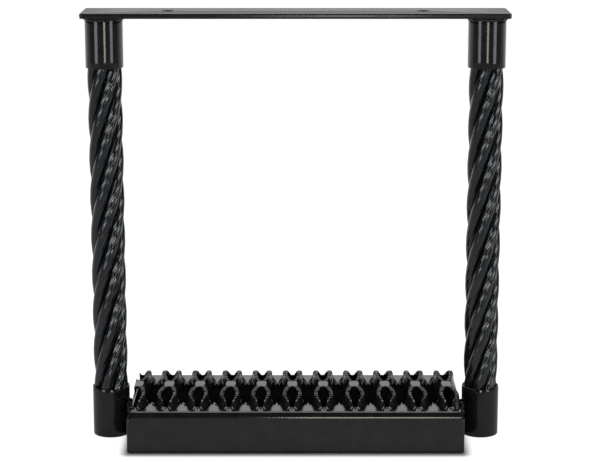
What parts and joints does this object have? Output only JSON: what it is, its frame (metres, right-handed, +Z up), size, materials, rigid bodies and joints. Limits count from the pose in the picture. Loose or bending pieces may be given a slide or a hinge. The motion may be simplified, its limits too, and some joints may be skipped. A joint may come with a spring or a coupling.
{
  "type": "cable truck step",
  "caption": "Black step that bolts under a truck bed: a flat plate, thick wire ropes in ferrules and a serrated pressed tread hung between them.",
  "frame": {"origin": "middle of the mounting plate's top face, between its two bolt holes", "axes": "+Z up, out of the plate's top face; +X along the plate; -Y towards the person who steps on it"},
  "size_m": [0.381, 0.1206, 0.3937],
  "materials": {
    "plate_coat": "semi-gloss black powder coat",
    "tread_coat": "semi-gloss black powder coat",
    "ferrule_coat": "gloss black powder coat",
    "rope_coat": "gloss black coat over wires",
    "weld_coat": "gloss black coat over a weld bead"
  },
  "bodies": {
    "root": {"mounting_plate": "plate_coat", "tread": "tread_coat", "upper_left_ferrule": "ferrule_coat", "upper_right_ferrule": "ferrule_coat", "lower_left_ferrule": "ferrule_coat", "lower_right_ferrule": "ferrule_coat", "left_rope": "rope_coat", "right_rope": "rope_coat", "left_end_plate": "tread_coat", "right_end_plate": "tread_coat", "upper_left_weld": "weld_coat", "upper_right_weld": "weld_coat", "lower_left_front_weld": "weld_coat", "lower_left_back_weld": "weld_coat", "lower_right_front_weld": "weld_coat", "lower_right_back_weld": "weld_coat"}
  },
  "joints": []
}
